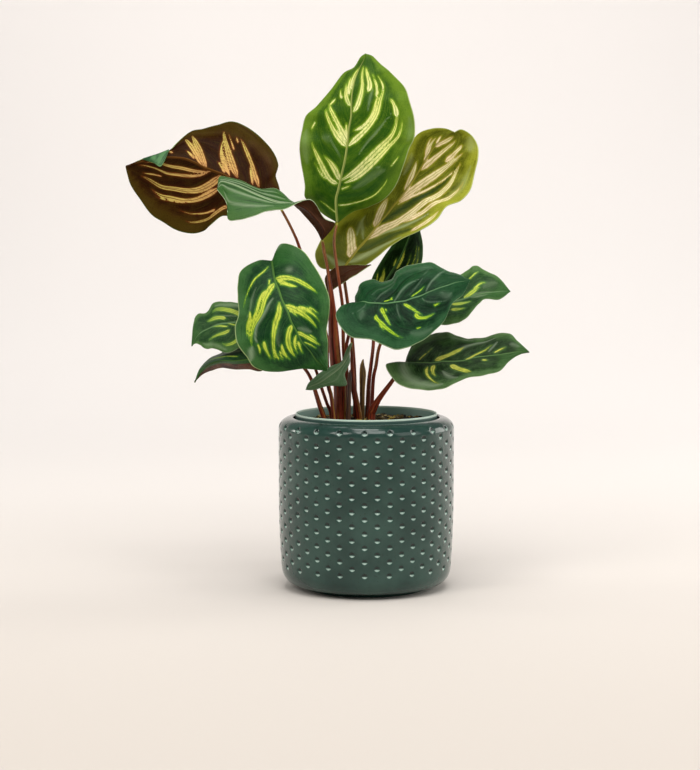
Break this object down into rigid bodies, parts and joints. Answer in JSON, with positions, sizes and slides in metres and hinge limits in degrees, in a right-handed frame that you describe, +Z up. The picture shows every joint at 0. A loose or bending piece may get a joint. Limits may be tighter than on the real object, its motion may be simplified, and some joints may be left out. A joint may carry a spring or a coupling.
{
  "type": "potted calathea",
  "caption": "House plant with streaked, waved oval leaves on red-brown stems, standing in soil in a thin inner pot inside a dimpled glazed pot.",
  "frame": {"origin": "centre of the pot's foot, on the surface that it stands on", "axes": "+Z up along the pot's axis; -Y towards the side that the picture shows, +X to its right"},
  "size_m": [0.3201, 0.1398, 0.4252],
  "materials": {
    "teal_glaze": "dark teal glaze, satin to gloss",
    "liner_plastic": "grey-green plastic, satin",
    "potting_soil": "loose potting mix of bark and peat, matte; as light as wood",
    "bright_leaf": "mid green leaf with cream streaks, satin",
    "green_leaf": "green leaf with lime streaks, satin",
    "dark_leaf": "dark green leaf with lime streaks, satin",
    "olive_leaf": "olive underside with pale bands, satin",
    "maroon_leaf": "maroon underside with tan bands, satin",
    "stem_red": "red-brown stem, satin",
    "shoot_olive": "olive-brown new growth, satin"
  },
  "bodies": {
    "root": {"outer_pot": "teal_glaze", "inner_pot": "liner_plastic", "soil": "potting_soil", "leaf_top": "bright_leaf", "leaf_upper_left": "maroon_leaf", "leaf_twisted": "green_leaf", "leaf_upper_right": "olive_leaf", "leaf_left": "green_leaf", "leaf_right": "dark_leaf", "leaf_far_right": "dark_leaf", "leaf_lower_right": "dark_leaf", "leaf_behind": "dark_leaf", "leaf_under": "maroon_leaf", "leaf_far_left": "green_leaf", "leaf_lowest_left": "green_leaf", "leaf_young": "green_leaf", "stem_top": "stem_red", "stem_upper_left": "stem_red", "stem_twisted": "stem_red", "stem_upper_right": "stem_red", "stem_left": "stem_red", "stem_right": "stem_red", "stem_far_right": "stem_red", "stem_lower_right": "stem_red", "stem_behind": "stem_red", "stem_under": "stem_red", "stem_far_left": "stem_red", "stem_lowest_left": "stem_red", "stem_young": "stem_red", "rolled_leaf": "shoot_olive", "bract": "shoot_olive"}
  },
  "joints": []
}
